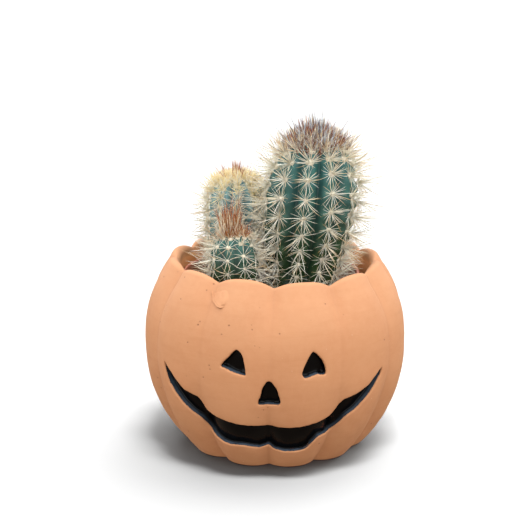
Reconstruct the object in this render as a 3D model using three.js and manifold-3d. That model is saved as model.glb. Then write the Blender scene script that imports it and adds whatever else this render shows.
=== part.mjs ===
// A cluster of three ribbed, blue-green columnar cacti in a plastic nursery pot, which stands inside a lobed
// terracotta pot shaped as a pumpkin, with a carved and painted jack-o'-lantern face on its front.
// Units are millimetres and +Z is up. The origin is the middle of the pumpkin's flat foot.
// The face looks along -Y.
import * as THREE from "three";
import { mergeVertices } from "three/addons/utils/BufferGeometryUtils.js";
import Module from "manifold-3d";

const wasm = await Module();
wasm.setup();

// ---------------------------------------------------------------- driving dimensions

const GAP = 0.3; // clearance left between pieces that rest on each other

const PUMPKIN = {
  lobes: 12,
  radius: 59.5, // on the crest of a lobe, at the widest height
  widestHeight: 46.6,
  lowerReach: 64.2, // half height of the superellipse below the widest height
  lowerPower: 2,
  upperReach: 55.3, // and above it
  upperPower: 2.4,
  lipHeight: 86.4, // top of the rim on a lobe
  lipRadius: 46,
  lipRound: 2.6,
  lipDip: 3.4, // how far the rim drops in the valley between two lobes
  valleyLow: 4.4, // depth of a valley near the foot
  valleyWide: 1.7, // and at the widest height
  valleyTop: 2.4, // and at the rim
  valleyPower: 2.4,
  rimSag: 1.25, // how much lower the hand-made rim is on the right
  dipEase: 0.3, // share by which the rim drops less at the sides than in front
  lobeSpread: 1.6, // degrees, how much wider the front and back lobes are spaced than those at the sides
  twistTop: -0.5, // degrees the lobes are turned at the rim
  twistFoot: -4, // and at the foot
  wallTop: 6,
  wallLow: 10,
  floor: 7,
  footRadius: 39,
  footRecess: 1.2,
  footRecessRadius: 27,
  stepsPerLobe: 6,
};

// The face is carved as blind pockets. Places are [arc across the front, height], both on the pot's surface.
const FACE = {
  depth: 3.8,
  mouthDepth: 3.4,
  draft: 1, // how much a pocket closes in towards its floor
  lowerDraft: 1.9, // and at the smile's lower edge
  // Corners of the eyes and the nose, each with how far the side to the next corner bulges.
  leftEye: [[-16.4, 60.1, 0.3], [-23.4, 52.2, 0.3], [-12.3, 48.9, 0.3], [-14.2, 58.5, 0.2]],
  rightEye: [[16, 59.4, 0.4], [11.1, 49.6, 0.1], [12.5, 47.8, 0], [17.6, 49.1, 0.1], [21.8, 48.7, 1.6]],
  nose: [[-3.7, 46.2, 0.6], [-7.4, 35.9, 0.3], [2.3, 36, 0.95], [-1.3, 46.1, 0.35]],
  // The lips from the smile's left end to its right, corner by corner: degrees round the pot, height, and how
  // far the stretch to the next corner bows up. They peak in the valleys, where the carver's blade crossed.
  upperLip: [
    [-53.9, 47.8, 0.3], [-42.1, 37.9, -0.1], [-35.4, 35.4, -0.3], [-32.9, 30.9, -0.3], [-30.4, 29.1, -1],
    [-2.9, 25.1, -1.6], [24.7, 28.5, -0.7], [30.9, 35.3, -0.5], [43.1, 40.3, 0.5], [51.3, 46, 0],
  ],
  lowerLip: [
    [-53.9, 45.6, -0.3], [-51.1, 39, -0.7], [-36.6, 24, -1], [-32.3, 17.1, -0.5], [-21.6, 13.9, 0.2],
    [-14.3, 14.1, 0], [-8, 12.6, 0], [-3.3, 13.5, 0], [-0.4, 11.7, -0.6], [14.8, 12, 0],
    [20.7, 18.4, 0.2], [26, 18.6, -1.4], [33.2, 26.3, -1.2], [51.3, 43.9, 0],
  ],
  widestStep: 4.5, // degrees between two sections of the smile
};

const NURSERY = {
  centre: [-1.9, -0.8], // it stands a little off the pumpkin's middle
  rimRadius: 40,
  rimHeight: 78.7,
  collarHeight: 9,
  collarStep: 1.4,
  footRadius: 28.5,
  wall: 1.3,
  floorThick: 1.6,
  drainRadius: 3.5,
  drainRing: 20,
  drains: 6,
  sides: 40,
};

const SOIL = { top: 71, crown: 1.2, rootDepth: 14 };

// Each stem: where its axis leaves the soil, how far its top leans, its height, and its ribs and spines.
const STEMS = [
  {
    name: "stem_tall",
    base: [10.8, 1.5], lean: [7.4, 1.2], top: 139, radius: 20.4, rootRadius: 13,
    ribs: 11, ribDepth: 0.24, phase: -9, domePower: 2, domeStart: 0.6, waist: 0.76, rings: 12,
    rows: 8, firstRow: 0.08, radial: 2, central: 1, spread: 62, spine: 7.6, centralSpine: 9.5,
    crownSpines: 22, crownSpine: 12, crownReach: 0.62, crownFan: 0.5, seed: 11,
  },
  {
    name: "stem_back",
    base: [-18.6, 17.6], lean: [0.9, 0.8], top: 118.5, radius: 13.2, rootRadius: 8.6,
    ribs: 10, ribDepth: 0.22, phase: 4, domePower: 2.3, domeStart: 0.68, waist: 0.8, rings: 9,
    rows: 5, firstRow: 0.14, radial: 2, central: 1, spread: 60, spine: 6.6, centralSpine: 8,
    crownSpines: 12, crownSpine: 8, crownReach: 0.5, crownFan: 0.5, seed: 23,
  },
  {
    name: "stem_small",
    base: [-17.2, -15.2], lean: [-0.9, 0.6], top: 98.5, radius: 10.9, rootRadius: 7.4,
    ribs: 9, ribDepth: 0.2, phase: -14, domePower: 2.4, domeStart: 0.42, waist: 0.84, rings: 7,
    rows: 4, firstRow: 0.16, radial: 2, central: 1, spread: 66, spine: 7, centralSpine: 7.5,
    crownSpines: 12, crownSpine: 18.5, crownReach: 0.3, crownFan: 0.3, seed: 37,
  },
];

const NEEDLE = { baseRadius: 0.42, sunk: 1.2 };

const COLOURS = {
  clay: { color: 0xd9a079, roughness: 0.85 },
  nursery: { color: 0x9a5238, roughness: 0.5 },
  soil: { color: 0x2e211a, roughness: 1 },
  cactus: { color: 0x3f6b63, roughness: 0.7 },
};

// ---------------------------------------------------------------- small helpers

const radians = THREE.MathUtils.degToRad;
const mix = THREE.MathUtils.lerp;
const smooth = (x, from, to) => THREE.MathUtils.smoothstep(x, from, to);

// A seeded draw between 0 and 1 (mulberry32), so every build places the spines alike.
function seeded(seed) {
  let state = seed >>> 0;
  return () => {
    state = (state + 0x6d2b79f5) >>> 0;
    let t = state;
    t = Math.imul(t ^ (t >>> 15), t | 1);
    t ^= t + Math.imul(t ^ (t >>> 7), t | 61);
    return ((t ^ (t >>> 14)) >>> 0) / 4294967296;
  };
}

// Vertices and triangle indices as a BufferGeometry.
function geometryOf(points, triangles) {
  const geometry = new THREE.BufferGeometry();
  geometry.setAttribute("position", new THREE.Float32BufferAttribute(points.flat(), 3));
  geometry.setIndex(triangles.flat());
  return geometry;
}

// A closed skin over a stack of rings of equal length, with a pole point below the first and above the last.
// Rings run anticlockwise seen from above when the stack goes up, so that the faces point outwards.
function skin(rings, firstPole, lastPole) {
  const count = rings[0].length;
  const points = [...rings.flat(), firstPole, lastPole];
  const first = points.length - 2;
  const last = points.length - 1;
  const triangles = [];
  for (let j = 0; j < count; j++) {
    const next = (j + 1) % count;
    triangles.push([first, next, j]);
    triangles.push([last, (rings.length - 1) * count + j, (rings.length - 1) * count + next]);
    for (let i = 0; i + 1 < rings.length; i++) {
      const a = i * count + j;
      const b = i * count + next;
      triangles.push([a, b, b + count], [a, b + count, a + count]);
    }
  }
  return geometryOf(points, triangles);
}

// A geometry as a solid for booleans.
function solidOf(geometry) {
  const bare = geometry.clone();
  for (const name of ["normal", "uv"]) bare.deleteAttribute(name);
  const merged = mergeVertices(bare, 1e-4);
  return new wasm.Manifold(
    new wasm.Mesh({
      numProp: 3,
      vertProperties: merged.attributes.position.array,
      triVerts: new Uint32Array(merged.index.array),
    }),
  );
}

// A solid back as a geometry.
function geometryFrom(solid) {
  const mesh = solid.getMesh();
  const geometry = new THREE.BufferGeometry();
  geometry.setAttribute("position", new THREE.BufferAttribute(mesh.vertProperties, 3));
  geometry.setIndex(new THREE.BufferAttribute(mesh.triVerts, 1));
  geometry.computeVertexNormals();
  return geometry;
}

function meshOf(name, geometry, look) {
  const mesh = new THREE.Mesh(geometry, new THREE.MeshStandardMaterial({ ...look, metalness: 0 }));
  mesh.name = name;
  return mesh;
}

// ---------------------------------------------------------------- the pumpkin pot

// Radius on the crest of a lobe at a height.
function crestRadius(z) {
  const below = z < PUMPKIN.widestHeight;
  const reach = below ? PUMPKIN.lowerReach : PUMPKIN.upperReach;
  const power = below ? PUMPKIN.lowerPower : PUMPKIN.upperPower;
  const share = Math.abs(z - PUMPKIN.widestHeight) / reach;
  return PUMPKIN.radius * (1 - share ** power) ** (1 / power);
}

// 0 on the crest of a lobe and 1 in the valley beside it. lobeAngle counts 30 degrees for every lobe.
function valley(lobeAngle) {
  const along = (lobeAngle / (360 / PUMPKIN.lobes)) % 1;
  return Math.abs(2 * (along < 0 ? along + 1 : along) - 1) ** PUMPKIN.valleyPower;
}

function valleyDepth(z) {
  return z < PUMPKIN.widestHeight
    ? mix(PUMPKIN.valleyLow, PUMPKIN.valleyWide, smooth(z, 12, PUMPKIN.widestHeight))
    : mix(PUMPKIN.valleyWide, PUMPKIN.valleyTop, smooth(z, PUMPKIN.widestHeight, PUMPKIN.lipHeight));
}

// The lobes are spaced a little wider at front and back than at the sides, and lean round as they rise.
const turnAt = (z) => mix(PUMPKIN.twistFoot, PUMPKIN.twistTop, z / PUMPKIN.lipHeight);
const spreadAt = (lobeAngle) => PUMPKIN.lobeSpread * Math.sin(radians(2 * lobeAngle));
const angleOfLobe = (lobeAngle, z) => lobeAngle + spreadAt(lobeAngle) + turnAt(z);

function lobeOfAngle(angle, z) {
  const straight = angle - turnAt(z);
  return straight - spreadAt(straight - spreadAt(straight));
}

// A point at an angle from the front (degrees, positive towards +X), a radius and a height.
const polar = (angle, radius, z) => [radius * Math.sin(radians(angle)), -radius * Math.cos(radians(angle)), z];

// How far the hand-made rim hangs down on the right.
function sagAt(lobeAngle, z) {
  return PUMPKIN.rimSag * smooth(Math.sin(radians(lobeAngle)), -0.15, 0.3) * smooth(z, 58, 84);
}

function outerRadius(lobeAngle, z) {
  return crestRadius(z) - valleyDepth(z) * valley(lobeAngle);
}

function pumpkinRings() {
  const rings = [];
  const count = PUMPKIN.lobes * PUMPKIN.stepsPerLobe;
  // One ring: nominal radius and height, and how much of the valley's depth and of the rim's dip it takes.
  const ring = (radius, z, depth, dip) => {
    const made = [];
    for (let j = 0; j < count; j++) {
      const lobeAngle = (j * 360) / count;
      const v = valley(lobeAngle);
      const drop = dip * v * (1 - PUMPKIN.dipEase * Math.sin(radians(lobeAngle)) ** 2) + sagAt(lobeAngle, z);
      made.push(polar(angleOfLobe(lobeAngle, z), radius - depth * v, z - drop));
    }
    rings.push(made);
  };
  const dipAt = (z) => PUMPKIN.lipDip * smooth(z, 58, PUMPKIN.lipHeight - PUMPKIN.lipRound);

  // Under the foot, from the recess out to the rounded edge.
  ring(PUMPKIN.footRecessRadius, PUMPKIN.footRecess, 0, 0);
  ring(PUMPKIN.footRecessRadius + 1.2, 0, 0, 0);
  ring(PUMPKIN.footRadius, 0, PUMPKIN.valleyLow * 0.7, 0);
  ring(crestRadius(1), 0.9, PUMPKIN.valleyLow * 0.9, 0);

  // Up the outside.
  const shoulder = PUMPKIN.lipHeight - PUMPKIN.lipRound;
  for (const z of [4, 9, 15, 22, 30, 38, PUMPKIN.widestHeight, 55, 63, 70.5, 77, 81]) {
    ring(crestRadius(z), z, valleyDepth(z), dipAt(z));
  }

  // Over the lip, from its outer side to its inner side, where the lobes are shallower.
  for (const turn of [36, 66, 90, 135, 180]) {
    const out = Math.cos(radians(turn));
    const up = Math.sin(radians(turn));
    const depth = mix(0.4, PUMPKIN.valleyTop, (out + 1) / 2);
    ring(PUMPKIN.lipRadius + out * PUMPKIN.lipRound, shoulder + up * PUMPKIN.lipRound, depth, PUMPKIN.lipDip);
  }

  // Down the inside and over the floor.
  for (const z of [76, 64, 46, 26, 11]) {
    const wall = mix(PUMPKIN.wallLow, PUMPKIN.wallTop, smooth(z, 40, 80));
    const mouth = PUMPKIN.lipRadius - PUMPKIN.lipRound; // the inside rises straight up to the lip from z = 74
    ring(mix(crestRadius(z) - wall, mouth, smooth(z, 60, 74)), z, 0.4, z > 70 ? PUMPKIN.lipDip * 0.3 : 0);
  }
  ring(crestRadius(PUMPKIN.floor) - PUMPKIN.wallLow - 3, PUMPKIN.floor, 0, 0);
  return rings;
}

// A pocket cutter: a closed loop of [angle, height], pushed into the pot by the depth and out past its surface.
function pocketCutter(outline, centre) {
  const inset = outline.map(([angle, z]) => {
    const across = radians(angle - centre[0]) * PUMPKIN.radius;
    const reach = Math.hypot(across, z - centre[1]);
    const keep = Math.max(0, 1 - FACE.draft / reach);
    return [centre[0] + (angle - centre[0]) * keep, centre[1] + (z - centre[1]) * keep];
  });
  const place = ([angle, z], push) => polar(angle, outerRadius(lobeOfAngle(angle, z), z) + push, z);
  const floorRing = inset.map((p) => place(p, -FACE.depth));
  const outsideRing = outline.map((p) => place(p, FACE.depth));
  return solidOf(skin([floorRing, outsideRing], place(centre, -FACE.depth), place(centre, FACE.depth)));
}

// An outline with rounded corners and bulging sides, as [angle, height] points.
function roundedOutline(corners) {
  const outline = [];
  const corner = 0.16;
  corners.forEach((from, side) => {
    const to = corners[(side + 1) % corners.length];
    const length = Math.hypot(to[0] - from[0], to[1] - from[1]);
    const outward = [(to[1] - from[1]) / length, -(to[0] - from[0]) / length];
    const ends = [corner, 1 - corner];
    const stations = length < 4 ? ends : [corner * 0.5, corner, 0.5, 1 - corner, 1 - corner * 0.5];
    for (const along of stations) {
      const push = from[2] * 4 * along * (1 - along);
      outline.push([0, 1].map((k) => mix(from[k], to[k], along) + outward[k] * push));
    }
  });
  const toAngle = (arc) => THREE.MathUtils.radToDeg(arc / PUMPKIN.radius);
  return outline.map(([arc, z]) => [toAngle(arc), z]);
}

function middleOf(outline) {
  const sum = outline.reduce((total, p) => [total[0] + p[0], total[1] + p[1]], [0, 0]);
  return [sum[0] / outline.length, sum[1] / outline.length];
}

// Height of a lip at an angle.
function lipHeight(lip, angle) {
  const next = Math.max(1, lip.findIndex((corner) => corner[0] >= angle));
  const [from, to] = [lip[next - 1], lip[next]];
  const share = (angle - from[0]) / (to[0] - from[0]);
  return mix(from[1], to[1], share) + 4 * from[2] * share * (1 - share);
}

// The angles of the smile's sections: every corner of either lip, and evenly between corners far apart.
function smileAngles() {
  const corners = [...FACE.upperLip, ...FACE.lowerLip].map((corner) => corner[0]).sort((a, b) => a - b);
  const distinct = corners.filter((angle, i) => i === 0 || angle - corners[i - 1] > 0.7);
  return distinct.flatMap((angle, i) => {
    const gap = i + 1 < distinct.length ? distinct[i + 1] - angle : 0;
    const parts = Math.max(1, Math.ceil(gap / FACE.widestStep));
    return Array.from({ length: parts }, (_, k) => angle + (gap * k) / parts);
  });
}

// The smile: one section of the pocket at each angle, so that its long floor follows the pot.
function mouthCutter() {
  const sections = smileAngles().map((angle) => {
    const lower = lipHeight(FACE.lowerLip, angle);
    const upper = lipHeight(FACE.upperLip, angle);
    const tuck = Math.min(FACE.draft, (upper - lower) * 0.25);
    const lowerTuck = Math.min(FACE.lowerDraft, (upper - lower) * 0.35);
    const half = (upper + lower) / 2;
    const at = (z, push) => polar(angle, outerRadius(lobeOfAngle(angle, z), z) + push, z);
    return [
      at(lower + lowerTuck, -FACE.mouthDepth), at(half, -FACE.mouthDepth), at(upper - tuck, -FACE.mouthDepth),
      at(upper, FACE.mouthDepth), at(half, FACE.mouthDepth), at(lower, FACE.mouthDepth),
    ];
  });
  const middle = (section) => [0, 1, 2].map((k) => section.reduce((sum, p) => sum + p[k] / section.length, 0));
  return solidOf(skin(sections, middle(sections[0]), middle(sections.at(-1))));
}

function pumpkinPot() {
  const rings = pumpkinRings();
  const body = solidOf(skin(rings, [0, 0, PUMPKIN.footRecess], [0, 0, PUMPKIN.floor]));
  const pockets = [FACE.leftEye, FACE.rightEye, FACE.nose].map((shape) => {
    const outline = roundedOutline(shape);
    return pocketCutter(outline, middleOf(outline));
  });
  return [...pockets, mouthCutter()].reduce((pot, cutter) => pot.subtract(cutter), body);
}

// ---------------------------------------------------------------- the nursery pot and the soil in it

// Outer radius of the nursery pot's plain wall at a height.
function nurseryRadius(z) {
  const foot = PUMPKIN.floor + GAP;
  const collarFoot = NURSERY.rimHeight - NURSERY.collarHeight;
  const top = NURSERY.rimRadius - NURSERY.collarStep - 0.6;
  return mix(NURSERY.footRadius, top, (z - foot) / (collarFoot - foot));
}

function nurseryPot() {
  const { rimRadius, rimHeight, collarHeight, wall, floorThick, sides } = NURSERY;
  const foot = PUMPKIN.floor + GAP;
  const collarFoot = rimHeight - collarHeight;
  const profile = [
    [0, foot],
    [NURSERY.footRadius - 1, foot],
    [NURSERY.footRadius, foot + 1],
    [nurseryRadius(collarFoot), collarFoot],
    [rimRadius - 0.6, collarFoot + 0.4],
    [rimRadius - 0.3, rimHeight - 1.6],
    [rimRadius, rimHeight - 1.2],
    [rimRadius, rimHeight - 0.3],
    [rimRadius - 0.4, rimHeight],
    [rimRadius - wall, rimHeight - 0.2],
    [rimRadius - 0.6 - wall, collarFoot + 1.6],
    [nurseryRadius(collarFoot) - wall, collarFoot - 0.6],
    [NURSERY.footRadius - wall, foot + floorThick],
    [0, foot + floorThick],
  ].map(([r, z]) => new THREE.Vector2(r, z));
  const shell = solidOf(new THREE.LatheGeometry(profile, sides).rotateX(Math.PI / 2));
  const drain = (x, y) =>
    solidOf(new THREE.CylinderGeometry(NURSERY.drainRadius, NURSERY.drainRadius, 3 * floorThick, 12)
      .rotateX(Math.PI / 2)
      .translate(x, y, foot + floorThick / 2));
  let pot = shell.subtract(drain(0, 0));
  for (let i = 0; i < NURSERY.drains; i++) {
    const [x, y] = polar((i * 360) / NURSERY.drains, NURSERY.drainRing, 0);
    pot = pot.subtract(drain(x, y));
  }
  return pot.translate([...NURSERY.centre, 0]);
}

function soil() {
  const bottom = PUMPKIN.floor + GAP + NURSERY.floorThick + GAP;
  const inside = (z) => nurseryRadius(z) - NURSERY.wall - GAP;
  const profile = [
    [0, bottom],
    [inside(bottom) - 0.4, bottom],
    [inside(SOIL.top - 1.5), SOIL.top - 1.5],
    [inside(SOIL.top - 1.5) - 2, SOIL.top - 0.6],
    [23, SOIL.top + SOIL.crown * 0.5],
    [0, SOIL.top + SOIL.crown],
  ].map(([r, z]) => new THREE.Vector2(r, z));
  const plug = solidOf(new THREE.LatheGeometry(profile, NURSERY.sides).rotateX(Math.PI / 2))
    .translate([...NURSERY.centre, 0]);
  return STEMS.reduce((made, stem) => {
    const depth = SOIL.rootDepth + GAP;
    const hole = new THREE.CylinderGeometry(stem.rootRadius + GAP, stem.rootRadius + GAP, depth + 10, 30)
      .rotateX(Math.PI / 2)
      .translate(stem.base[0], stem.base[1], SOIL.top - depth + (depth + 10) / 2);
    return made.subtract(solidOf(hole));
  }, plug);
}

// ---------------------------------------------------------------- the cacti

// The share of a stem's height above the soil, from 0 at the soil to 1 at its tip, as a centre line point.
function axisPoint(stem, t) {
  const bend = (3 * t - t * t) / 2; // leans most near the soil and straightens a little towards the tip
  return [
    stem.base[0] + stem.lean[0] * bend,
    stem.base[1] + stem.lean[1] * bend,
    mix(SOIL.top, stem.top, t),
  ];
}

// Radius on a rib's crest: narrow at the root, full in the middle, closing in a dome.
function ribCrest(stem, t) {
  const body = mix(stem.waist, 1, smooth(t, -0.1, 0.5)) * stem.radius;
  if (t <= stem.domeStart) return body;
  const share = Math.min(1, (t - stem.domeStart) / (1 - stem.domeStart));
  return body * (1 - share ** stem.domePower) ** (1 / stem.domePower);
}

// The share of the height at which the dome has closed in to a share of its full radius.
function domeHeight(stem, share) {
  const rise = (1 - share ** stem.domePower) ** (1 / stem.domePower);
  return mix(stem.domeStart, 1, rise);
}

// A point on the stem at an angle and share of its height. ribs is 0 where the ribs have faded out.
function stemPoint(stem, angle, t, ribs = 1) {
  const groove = 1 - Math.abs(Math.cos(radians((stem.ribs * (angle - stem.phase)) / 2)));
  const radius = ribCrest(stem, t) * (1 - stem.ribDepth * ribs * groove);
  const centre = axisPoint(stem, t);
  const [x, y] = polar(angle, radius, 0);
  return [centre[0] + x, centre[1] + y, centre[2]];
}

function stemBody(stem) {
  const columns = stem.ribs * 4;
  const angleOf = (j) => stem.phase + (j * 360) / columns;
  const rings = [];
  const root = SOIL.top - SOIL.rootDepth;
  for (const [share, z] of [[0.7, root], [1, root + 2], [1, SOIL.top + 1.2]]) {
    rings.push(Array.from({ length: columns }, (_, j) => {
      const [x, y] = polar(angleOf(j), stem.rootRadius * share, 0);
      return [stem.base[0] + x, stem.base[1] + y, z];
    }));
  }
  for (let i = 0; i < stem.rings; i++) {
    // Stations crowd towards the tip, where the dome curves most.
    const t = 0.05 + 0.945 * Math.sin(((i / (stem.rings - 1)) * Math.PI) / 2);
    const ribs = smooth(t, -0.05, 0.18);
    rings.push(Array.from({ length: columns }, (_, j) => stemPoint(stem, angleOf(j), t, ribs)));
  }
  const tip = axisPoint(stem, 1);
  return solidOf(skin(rings, [stem.base[0], stem.base[1], root], tip));
}

// A three-sided needle from a root to a tip.
function needle(root, tip, radius = NEEDLE.baseRadius) {
  const along = new THREE.Vector3().subVectors(tip, root);
  const cone = new THREE.ConeGeometry(radius, along.length(), 3, 1);
  cone.translate(0, along.length() / 2, 0);
  const turn = new THREE.Quaternion().setFromUnitVectors(new THREE.Vector3(0, 1, 0), along.clone().normalize());
  cone.applyQuaternion(turn).translate(root.x, root.y, root.z);
  return solidOf(cone);
}

// Where the woolly cushions sit: on each rib's crest, staggered from rib to rib, closer towards soil and tip.
function areoles(stem) {
  const found = [];
  for (let rib = 0; rib < stem.ribs; rib++) {
    const angle = stem.phase + (rib * 360) / stem.ribs;
    for (let row = 0; row < stem.rows; row++) {
      const share = (row + (rib % 2) * 0.5) / stem.rows;
      const t = stem.firstRow + (0.985 - stem.firstRow) * Math.sin(share * Math.PI * 0.5) ** 0.92;
      const step = 0.004;
      const here = new THREE.Vector3(...stemPoint(stem, angle, t));
      const above = new THREE.Vector3(...stemPoint(stem, angle, Math.min(0.999, t + step)));
      const beside = new THREE.Vector3(...stemPoint(stem, angle + 1, t));
      const other = new THREE.Vector3(...stemPoint(stem, angle - 1, t));
      const up = above.sub(here).normalize();
      const side = beside.sub(other).normalize();
      const normal = new THREE.Vector3().crossVectors(side, up).normalize();
      found.push({ here, up, side, normal, t });
    }
  }
  return found;
}

// The spines of one stem as [root, tips to try]: the natural tip first, then two that bend up and clear.
function spinesOf(stem) {
  const draw = seeded(stem.seed);
  const vary = (size, by) => size * (1 + by * (2 * draw() - 1));
  const list = [];
  const add = (areole, turn, tilt, length) => {
    const root = areole.here.clone().addScaledVector(areole.normal, -NEEDLE.sunk);
    const tips = [1, 0.75, 0.5].map((lift) => {
      const across = radians(turn);
      const sideways = areole.side.clone().multiplyScalar(Math.sin(across));
      const out = sideways.addScaledVector(areole.up, Math.cos(across));
      const way = areole.normal.clone().multiplyScalar(Math.cos(radians(tilt)) * lift)
        .addScaledVector(out, Math.sin(radians(tilt)))
        .addScaledVector(new THREE.Vector3(0, 0, 1), (1 - lift) * 1.6)
        .normalize();
      return areole.here.clone().addScaledVector(way, length * (0.6 + 0.4 * lift));
    });
    list.push([root, tips]);
  };
  for (const areole of areoles(stem)) {
    const start = 360 * draw();
    const young = smooth(areole.t, 0.75, 1);
    for (let i = 0; i < stem.radial; i++) {
      const turn = start + ((i + 0.3 * draw()) * 360) / stem.radial;
      add(areole, turn, vary(stem.spread, 0.12) * (1 - 0.35 * young), vary(stem.spine, 0.18));
    }
    for (let i = 0; i < stem.central; i++) add(areole, start, vary(14, 0.8), vary(stem.centralSpine, 0.15));
  }
  for (let i = 0; i < stem.crownSpines; i++) {
    // The golden angle spreads the crown's spines evenly over the top of the dome.
    const angle = 137.5 * i;
    const reach = stem.crownReach * Math.sqrt((i + 0.5) / stem.crownSpines);
    const t = domeHeight(stem, reach);
    const surface = new THREE.Vector3(...stemPoint(stem, angle, t));
    const [x, y] = polar(angle, stem.crownFan * reach * 1.6, 0);
    const way = new THREE.Vector3(x, y, 1).normalize();
    const root = surface.clone().addScaledVector(way, -2 * NEEDLE.sunk);
    const tip = surface.clone().addScaledVector(way, vary(stem.crownSpine, 0.12) * (1 - 0.25 * reach));
    list.push([root, [tip]]);
  }
  return list;
}

// A stem with its spines fused on. A spine that would cross another solid is bent up and clear, or left out.
function cactus(stem, others) {
  const placed = [stemBody(stem)];
  for (const [root, tips] of spinesOf(stem)) {
    const clear = tips.find((tip) => {
      const beyond = root.clone().lerp(tip, 1.15);
      const guard = needle(root, beyond, NEEDLE.baseRadius + GAP);
      return others.every((other) => guard.intersect(other).isEmpty());
    });
    if (clear) placed.push(needle(root, clear));
  }
  return wasm.Manifold.union(placed);
}

// ---------------------------------------------------------------- the whole thing

const pumpkin = pumpkinPot();
const plastic = nurseryPot();
const earth = soil();
const bodies = STEMS.map(stemBody);
const cacti = [];
STEMS.forEach((stem, i) => {
  const neighbours = [...cacti, ...bodies.slice(i + 1)];
  cacti.push(cactus(stem, [pumpkin, plastic, earth, ...neighbours]));
});

const plant = new THREE.Group();
STEMS.forEach((stem, i) => plant.add(meshOf(stem.name, geometryFrom(cacti[i]), COLOURS.cactus)));

const model = new THREE.Group();
model.add(
  meshOf("pumpkin_pot", geometryFrom(pumpkin), COLOURS.clay),
  meshOf("nursery_pot", geometryFrom(plastic), COLOURS.nursery),
  meshOf("soil", geometryFrom(earth), COLOURS.soil),
  plant,
);

export default model;
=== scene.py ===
"""Three ribbed, spiny cacti in a nursery pot that stands in a carved and painted terracotta pumpkin pot.

Lengths are millimetres until a mesh is made, +Z is up and the face looks along -Y. Angles round the pot are
degrees from the front, positive towards +X.
"""

import math
import random

import bmesh
import bpy
import numpy as np
from mathutils import Matrix, Vector, noise
from mathutils.geometry import delaunay_2d_cdt


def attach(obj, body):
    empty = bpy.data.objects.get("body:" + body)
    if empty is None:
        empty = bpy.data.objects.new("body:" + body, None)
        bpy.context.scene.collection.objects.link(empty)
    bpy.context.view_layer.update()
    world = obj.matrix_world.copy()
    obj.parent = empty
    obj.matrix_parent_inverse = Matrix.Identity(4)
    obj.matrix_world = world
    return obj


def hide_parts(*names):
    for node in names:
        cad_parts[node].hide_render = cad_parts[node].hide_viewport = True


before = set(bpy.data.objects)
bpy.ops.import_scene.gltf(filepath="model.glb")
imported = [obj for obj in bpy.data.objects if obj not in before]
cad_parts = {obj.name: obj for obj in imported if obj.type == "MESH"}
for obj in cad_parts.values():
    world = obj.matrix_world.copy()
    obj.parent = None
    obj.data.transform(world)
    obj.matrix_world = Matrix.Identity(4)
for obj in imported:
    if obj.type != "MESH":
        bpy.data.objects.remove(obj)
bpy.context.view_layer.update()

MM = 0.001

# ---- driving dimensions

LOBES = 12
LOBE_ANGLE = 360 / LOBES
COLUMNS = LOBES * 24
POT_RADIUS = 59.5  # on the crest of a lobe, at the widest height
WIDEST = 46.6
# The pot's outline is part of one superellipse below its widest height and of another above it.
LOWER_REACH, LOWER_POWER = 64.2, 2.0
UPPER_REACH, UPPER_POWER = 55.3, 2.4
LIP_HEIGHT, LIP_RADIUS, LIP_ROUND, LIP_DIP = 86.4, 46.0, 2.6, 3.4
# How deep the valleys between the lobes are near the foot, at the widest height and at the lip.
VALLEY_LOW, VALLEY_WIDE, VALLEY_TOP, VALLEY_POWER = 4.4, 1.7, 2.4, 2.4
VALLEY_SOFT = 0.045  # how much of a lobe's half width rounds the crease between two lobes
RIM_SAG = 1.25  # how much lower the hand-made rim is on the right
DIP_EASE = 0.3  # share by which the rim drops less at the sides than in front
TWIST_FOOT, TWIST_TOP, LOBE_SPREAD = -4.0, -0.5, 1.6  # degrees by which the lobes are turned and uneven
WALL_TOP, WALL_LOW, POT_FLOOR = 6.0, 10.0, 7.0
FOOT_RECESS, FOOT_RECESS_RADIUS = 1.2, 27.0
ROW_STEP = 1.3
FLAP_PLACE = (-27.7, 80.2)  # the clay flap's angle and height
FLAP_ROWS, FLAP_COLUMNS = np.linspace(-5.4, 3.9, 48), np.linspace(-5.9, 6.2, 62)
FLAP_RADIUS = 51.0

# The face: outlines as [arc across the front, height], with how far each side bulges to the next corner.
LEFT_EYE = [(-16.4, 60.1, 0.3), (-23.4, 52.2, 0.3), (-12.3, 48.9, 0.3), (-14.2, 58.5, 0.2)]
RIGHT_EYE = [(16.0, 59.4, 0.4), (11.1, 49.6, 0.1), (12.5, 47.8, 0.0), (17.6, 49.1, 0.1), (21.8, 48.7, 1.6)]
NOSE = [(-3.7, 46.2, 0.6), (-7.4, 35.9, 0.3), (2.3, 36.0, 0.95), (-1.3, 46.1, 0.35)]
EYE_DEPTH = 3.8
MOUTH_DEPTH = 3.4
# The lips by corner: degrees round the pot, height, and how far the stretch to the next corner bows up.
UPPER_LIP = [
    (-53.9, 47.8, 0.3), (-42.1, 37.9, -0.1), (-35.4, 35.4, -0.3), (-32.9, 30.9, -0.3), (-30.4, 29.1, -1.0),
    (-2.9, 25.1, -1.6), (24.7, 28.5, -0.7), (30.9, 35.3, -0.5), (43.1, 40.3, 0.5), (51.3, 46.0, 0.0),
]
LOWER_LIP = [
    (-53.9, 45.6, -0.3), (-51.1, 39.0, -0.7), (-36.6, 24.0, -1.0), (-32.3, 17.1, -0.5), (-21.6, 13.9, 0.2),
    (-14.3, 14.1, 0.0), (-8.0, 12.6, 0.0), (-3.3, 13.5, 0.0), (-0.4, 11.7, -0.6), (14.8, 12.0, 0.0),
    (20.7, 18.4, 0.2), (26.0, 18.6, -1.4), (33.2, 26.3, -1.2), (51.3, 43.9, 0.0),
]
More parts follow.
